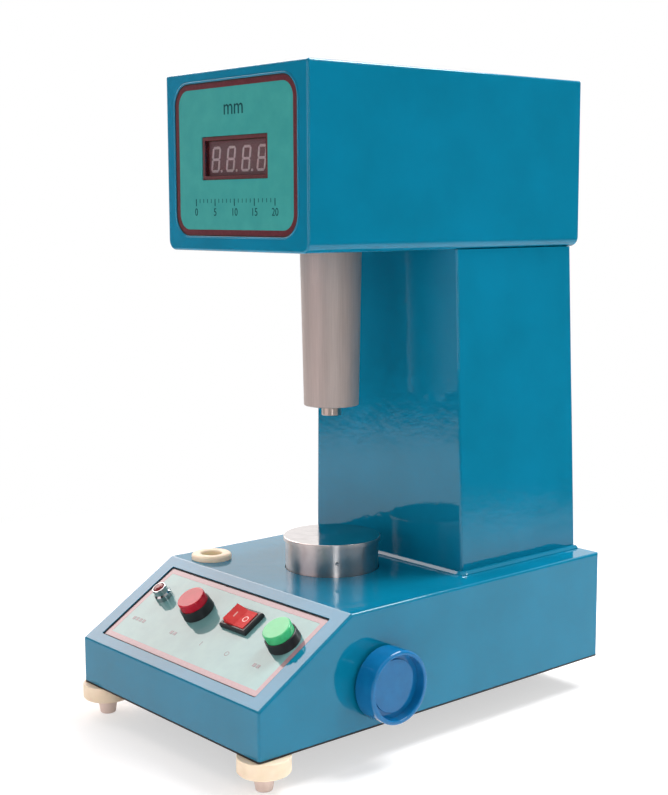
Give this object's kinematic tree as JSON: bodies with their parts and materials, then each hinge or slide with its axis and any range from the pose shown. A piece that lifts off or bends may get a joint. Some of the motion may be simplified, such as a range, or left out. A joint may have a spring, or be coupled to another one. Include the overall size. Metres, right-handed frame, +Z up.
{
  "type": "liquid limit device",
  "caption": "Bench fall-cone tester for the liquid limit of soil: base with sloped control panel, tapered column, display head with cone barrel, and a rack-driven lift table with side knob.",
  "frame": {"origin": "point of the bench plane straight below the cone's axis, with the three feet's soles at z = 0", "axes": "+X to the operator's right (the knob's side), +Y to the back (the column's side), +Z up along the cone's axis"},
  "size_m": [0.1914, 0.2784, 0.3735],
  "materials": {
    "blue_enamel": "gloss",
    "black_sheet": "satin",
    "printed_sheet": "gloss",
    "red_window": "gloss",
    "digit_plastic": "matte",
    "circuit_board": "satin",
    "turned_steel": "satin",
    "plain_steel": "satin",
    "zinc_screws": "satin",
    "satin_aluminium": "satin",
    "chrome": "polished",
    "brass": "satin",
    "buffer_rubber": "matte",
    "copper_winding": "satin",
    "core_laminations": "matte",
    "blue_plastic": "gloss",
    "red_plastic": "gloss",
    "green_plastic": "gloss",
    "red_lens": "gloss",
    "black_plastic": "gloss",
    "cream_plastic": "satin",
    "foot_tip_plastic": "satin",
    "vial_glass": "polished"
  },
  "bodies": {
    "base": {"barrel": "satin_aluminium", "base_casing": "blue_enamel", "board_standoffs": "plain_steel", "bottom_plate": "black_sheet", "buffer_ring": "buffer_rubber", "button_bezels": "black_plastic", "button_contacts": "black_plastic", "button_nuts": "brass", "cap_screws": "zinc_screws", "column_bolts": "zinc_screws", "column_shell": "blue_enamel", "cover_screws": "zinc_screws", "digit_block": "digit_plastic", "display_board": "circuit_board", "display_overlay": "printed_sheet", "display_window": "red_window", "fuse_holder": "black_plastic", "head_housing": "blue_enamel", "inlet_blades": "brass", "lamp_bezel": "chrome", "lamp_lens": "red_lens", "level_case": "cream_plastic", "level_vial": "vial_glass", "magnet_coil": "copper_winding", "magnet_core": "plain_steel", "panel_overlay": "printed_sheet", "power_board": "circuit_board", "power_inlet": "black_plastic", "rear_hatch": "blue_enamel", "rocker_frame": "black_plastic", "rod_bush": "brass", "sensor": "satin_aluminium", "shaft_bearing": "satin_aluminium", "shaft_bush": "brass", "stem_guide": "satin_aluminium", "transformer_coil": "copper_winding", "transformer_core": "core_laminations"},
    "lift_carriage": {"table_top": "turned_steel", "table_stem": "turned_steel", "rack_carrier": "plain_steel", "lift_rack": "plain_steel"},
    "knob_set": {"knob": "blue_plastic", "knob_cap": "blue_plastic", "knob_shaft": "turned_steel", "pinion": "plain_steel"},
    "red_button": {"red_button_cap": "red_plastic"},
    "green_button": {"green_button_cap": "green_plastic"},
    "rocker_body": {"rocker": "red_plastic"},
    "falling_rod": {"cone_rod": "turned_steel", "armature": "plain_steel"},
    "front_left_foot_pad": {"front_left_foot_tip": "foot_tip_plastic"},
    "front_left_foot_screw": {"front_left_foot_wheel": "cream_plastic", "front_left_foot_stud": "zinc_screws"},
    "front_right_foot_pad": {"front_right_foot_tip": "foot_tip_plastic"},
    "front_right_foot_screw": {"front_right_foot_wheel": "cream_plastic", "front_right_foot_stud": "zinc_screws"},
    "rear_foot_pad": {"rear_foot_tip": "foot_tip_plastic"},
    "rear_foot_screw": {"rear_foot_wheel": "cream_plastic", "rear_foot_stud": "zinc_screws"}
  },
  "joints": [
    {"name": "lift_slide", "type": "slide", "parent": "base", "child": "lift_carriage", "axis": [0, 0, 1], "range_m": [-0.008, 0.01]},
    {"name": "knob_turn", "type": "hinge", "parent": "base", "child": "knob_set", "pos_m": [0.09, -0.0385, 0.044], "axis": [1, 0, 0], "range_deg": [-51, 64]},
    {"name": "red_button_press", "type": "slide", "parent": "base", "child": "red_button", "axis": [0, -0.5264, 0.8503], "range_m": [-0.003, 0], "stiffness_N_per_m": 400},
    {"name": "green_button_press", "type": "slide", "parent": "base", "child": "green_button", "axis": [0, -0.5264, 0.8503], "range_m": [-0.003, 0], "stiffness_N_per_m": 400},
    {"name": "rocker_tip", "type": "hinge", "parent": "base", "child": "rocker_body", "pos_m": [0.018, -0.08017, 0.06947], "axis": [0, -0.8503, -0.5264], "range_deg": [0, 20]},
    {"name": "rod_fall", "type": "slide", "parent": "base", "child": "falling_rod", "axis": [0, 0, -1], "range_m": [0, 0.022]},
    {"name": "front_left_foot_height", "type": "slide", "parent": "base", "child": "front_left_foot_pad", "axis": [0, 0, -1], "range_m": [0, 0.008]},
    {"name": "front_left_foot_turn", "type": "hinge", "parent": "front_left_foot_pad", "child": "front_left_foot_screw", "pos_m": [-0.076, -0.1115, 0.0142], "axis": [0, 0, -1], "range_deg": [0, 2304]},
    {"name": "front_right_foot_height", "type": "slide", "parent": "base", "child": "front_right_foot_pad", "axis": [0, 0, -1], "range_m": [0, 0.008]},
    {"name": "front_right_foot_turn", "type": "hinge", "parent": "front_right_foot_pad", "child": "front_right_foot_screw", "pos_m": [0.076, -0.1115, 0.0142], "axis": [0, 0, -1], "range_deg": [0, 2304]},
    {"name": "rear_foot_height", "type": "slide", "parent": "base", "child": "rear_foot_pad", "axis": [0, 0, -1], "range_m": [0, 0.008]},
    {"name": "rear_foot_turn", "type": "hinge", "parent": "rear_foot_pad", "child": "rear_foot_screw", "pos_m": [0, 0.1335, 0.0142], "axis": [0, 0, -1], "range_deg": [0, 2304]}
  ],
  "couplings": [
    {"joint": "knob_turn", "follows": "lift_slide", "rad_per_m": 111.11},
    {"joint": "front_left_foot_turn", "follows": "front_left_foot_height", "rad_per_m": 5026.5},
    {"joint": "front_right_foot_turn", "follows": "front_right_foot_height", "rad_per_m": 5026.5},
    {"joint": "rear_foot_turn", "follows": "rear_foot_height", "rad_per_m": 5026.5}
  ]
}
